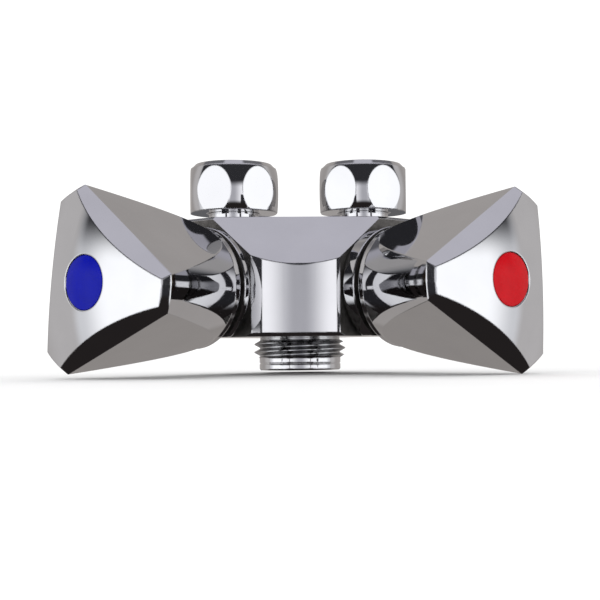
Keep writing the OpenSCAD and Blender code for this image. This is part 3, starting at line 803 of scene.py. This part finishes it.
def studio_sky(world):
    """A studio that only the chrome sees: white walls in front, warm grey behind, dark below."""
    world.use_nodes = True
    tree = world.node_tree
    tree.nodes.clear()
    out = tree.nodes.new("ShaderNodeOutputWorld")
    parts = tree.nodes.new("ShaderNodeSeparateXYZ")
    link(tree, tree.nodes.new("ShaderNodeTexCoord").outputs["Generated"], parts.inputs["Vector"])

    def work(operation, a, b=None):
        node = tree.nodes.new("ShaderNodeMath")
        node.operation = operation
        for socket, value in zip(node.inputs, (a, b)):
            if isinstance(value, (int, float)):
                socket.default_value = value
            elif value is not None:
                link(tree, value, socket)
        return node.outputs[0]

    def step(value, start, end):
        node = tree.nodes.new("ShaderNodeMapRange")
        node.interpolation_type = "SMOOTHSTEP"
        node.inputs["From Min"].default_value = start
        node.inputs["From Max"].default_value = end
        link(tree, value, node.inputs["Value"])
        return node.outputs["Result"]

    def blend(share, a, b):
        node = tree.nodes.new("ShaderNodeMix")
        node.data_type = "RGBA"
        link(tree, share, node.inputs["Factor"])
        for socket, tone in ((node.inputs[6], a), (node.inputs[7], b)):
            if isinstance(tone, tuple):
                socket.default_value = (*tone, 1)
            else:
                link(tree, tone, socket)
        return node.outputs[2]

    # Bearing from the user's side, height above level and depth below it, all in degrees
    bearing = work("ABSOLUTE", work("DEGREES", work("ARCTAN2", parts.outputs["X"],
                                                    work("MULTIPLY", parts.outputs["Y"], -1))))
    height = work("DEGREES", work("ARCSINE", parts.outputs["Z"]))
    depth = work("MULTIPLY", height, -1)

    def both(a, b):
        return work("MULTIPLY", a, b)

    def either(a, b):
        return work("MAXIMUM", a, b)

    def short_of(value, start, end):
        return work("SUBTRACT", 1, step(value, start, end))

    def between(value, start, end, soft):
        return both(step(value, start, start + soft), short_of(value, end - soft, end))

    # White walls that dim towards the way in between them, then warm grey walls behind
    walls = blend(step(bearing, 3, 27), (0.62, 0.62, 0.67), (1.50, 1.50, 1.56))
    walls = blend(step(bearing, 34, 56), walls, (1.68, 1.70, 1.74))
    walls = blend(step(bearing, 78, 92), walls, (0.98, 0.99, 1.03))
    behind = blend(step(bearing, 106, 126), (0.70, 0.68, 0.68), (0.49, 0.463, 0.45))
    behind = blend(both(step(bearing, 146, 154), step(depth, 6, 14)), behind, (0.385, 0.36, 0.345))
    walls = blend(step(bearing, 92, 97), walls, behind)
    # The gaps between the white walls and the way in, and the dark above these walls
    off_level = either(step(height, 0.4, 1.2), step(depth, 1.3, 2))
    gaps = both(between(bearing, 28.9, 37, 0.6), off_level)
    gaps = either(gaps, between(bearing, 28.6, 30.7, 0.4))
    gaps = either(gaps, both(between(bearing, 19, 37, 2), step(depth, 1.3, 3)))
    gaps = either(gaps, both(step(height, 8, 19), short_of(bearing, 91, 98)))
    walls = blend(gaps, walls, (0.040, 0.040, 0.046))
    # The dark rail behind, the ceiling and the dark beam under it
    rail = both(step(bearing, 160, 168), between(depth, 3, 14, 3))
    walls = blend(rail, walls, (0.13, 0.13, 0.14))
    walls = blend(step(height, 46, 52), walls, (0.735, 0.725, 0.81))
    beam = both(between(bearing, 116, 152, 6), between(height, 41, 76, 4))
    walls = blend(beam, walls, (0.20, 0.20, 0.22))
    # The dark table in front and the dark floor
    near_table = both(step(depth, 10, 16), short_of(bearing, 36, 44))
    edge = work("ADD", both(step(bearing, 103, 114), 15), both(step(bearing, 150, 160), 11))
    floor = step(work("SUBTRACT", depth, edge), 15, 23)
    seen = blend(either(near_table, floor), walls, (0.026, 0.022, 0.022))

    chrome_light = tree.nodes.new("ShaderNodeBackground")
    link(tree, seen, chrome_light.inputs["Color"])
    room_light = tree.nodes.new("ShaderNodeBackground")
    room_light.inputs["Color"].default_value = (1.0, 1.0, 1.0, 1)
    room_light.inputs["Strength"].default_value = 1.15
    choose = tree.nodes.new("ShaderNodeMixShader")
    link(tree, tree.nodes.new("ShaderNodeLightPath").outputs["Is Glossy Ray"], choose.inputs["Fac"])
    link(tree, room_light.outputs[0], choose.inputs[1])
    link(tree, chrome_light.outputs[0], choose.inputs[2])
    link(tree, choose.outputs[0], out.inputs["Surface"])


def floor_paper():
    """Pale matt paper, left out of the chrome's reflections."""
    paper = finish("pale_paper", (0.95, 0.95, 0.95), (0.93, 0.93, 0.93), 0.0, 0.95, 0.85, 30, 900, 0.02)
    tree = paper.node_tree
    out = tree.nodes["Material Output"]
    clear = tree.nodes.new("ShaderNodeBsdfTransparent")
    choose = tree.nodes.new("ShaderNodeMixShader")
    link(tree, tree.nodes.new("ShaderNodeLightPath").outputs["Is Glossy Ray"], choose.inputs["Fac"])
    link(tree, tree.nodes["Principled BSDF"].outputs[0], choose.inputs[1])
    link(tree, clear.outputs[0], choose.inputs[2])
    link(tree, choose.outputs[0], out.inputs["Surface"])
    return paper


class TAP_OT_set_stage(bpy.types.Operator):
    """Lays the pale floor and sets up the soft studio light and the camera"""
    bl_idname = "tap.set_stage"
    bl_label = "Set the stage"

    def execute(self, context):
        stage = context.scene.stage_settings
        deselect_all()
        low = min(corner[2] for corner in CAD_BOX)
        bpy.ops.mesh.primitive_circle_add(vertices=64, radius=3.0, fill_type="NGON",
                                          location=(0, 0, low - 0.05 * MM))
        floor = context.object
        settle(floor, "studio_floor")
        dress(floor, floor_paper())
        world = bpy.data.worlds.new("studio")
        context.scene.world = world
        studio_sky(world)

        yaw, pitch, roll = stage.aside, stage.pitch, stage.roll
        level = Vector((math.sin(yaw), math.cos(yaw), 0))
        right = Vector((math.cos(yaw), -math.sin(yaw), 0))
        ahead = level * math.cos(pitch) + Vector((0, 0, math.sin(pitch)))
        up = Vector((0, 0, math.cos(pitch))) - level * math.sin(pitch)
        leaning_right = right * math.cos(roll) - up * math.sin(roll)
        leaning_up = right * math.sin(roll) + up * math.cos(roll)
        view = Matrix((leaning_right, leaning_up, -ahead)).transposed().to_4x4()
        lens = bpy.data.cameras.new("studio_camera")
        lens.lens = stage.focal
        lens.sensor_width = 36
        lens.sensor_fit = "HORIZONTAL"
        lens.shift_x = stage.shift
        lens.clip_start = 0.01
        lens.clip_end = 20
        lens.dof.use_dof = False
        camera = bpy.data.objects.new("studio_camera", lens)
        context.scene.collection.objects.link(camera)
        camera.matrix_world = Matrix.Translation((0, -stage.distance, stage.height)) @ view
        context.scene.camera = camera
        context.scene.view_settings.view_transform = "Standard"
        return {"FINISHED"}


class TAP_PT_pieces(bpy.types.Panel):
    """Lists the steps that dress the tap, and the sizes and colours they use"""
    bl_idname = "TAP_PT_pieces"
    bl_label = "Mixer tap"
    bl_space_type = "VIEW_3D"
    bl_region_type = "UI"
    bl_category = "Mixer tap"

    def draw(self, context):
        layout = self.layout
        for step in STEPS:
            layout.operator(step.bl_idname)
        for group in GROUPS:
            holder = getattr(context.scene, group)
            box = layout.box()
            box.label(text=group.replace("_", " ").capitalize())
            for size in holder.__annotations__:
                box.prop(holder, size)


GROUPS = {
    "casting_sizes": CastingSizes,
    "knob_sizes": KnobSizes,
    "nut_sizes": NutSizes,
    "finish_colours": FinishColours,
    "stage_settings": StageSettings,
}
STEPS = (TAP_OT_set_stage, TAP_OT_finish_headworks, TAP_OT_add_casting, TAP_OT_add_knobs,
         TAP_OT_add_index_buttons, TAP_OT_add_swivel_nuts, TAP_OT_add_union_tails)


def register():
    for group, sizes in GROUPS.items():
        bpy.utils.register_class(sizes)
        setattr(bpy.types.Scene, group, PointerProperty(type=sizes))
    for step in STEPS:
        bpy.utils.register_class(step)
    bpy.utils.register_class(TAP_PT_pieces)


def unregister():
    bpy.utils.unregister_class(TAP_PT_pieces)
    for step in reversed(STEPS):
        bpy.utils.unregister_class(step)
    for group, sizes in reversed(GROUPS.items()):
        delattr(bpy.types.Scene, group)
        bpy.utils.unregister_class(sizes)


def main():
    register()
    bpy.ops.tap.set_stage()
    bpy.ops.tap.finish_headworks()
    bpy.ops.tap.add_casting()
    bpy.ops.tap.add_knobs()
    bpy.ops.tap.add_index_buttons()
    bpy.ops.tap.add_swivel_nuts()
    bpy.ops.tap.add_union_tails()


if __name__ == "__main__":
    main()
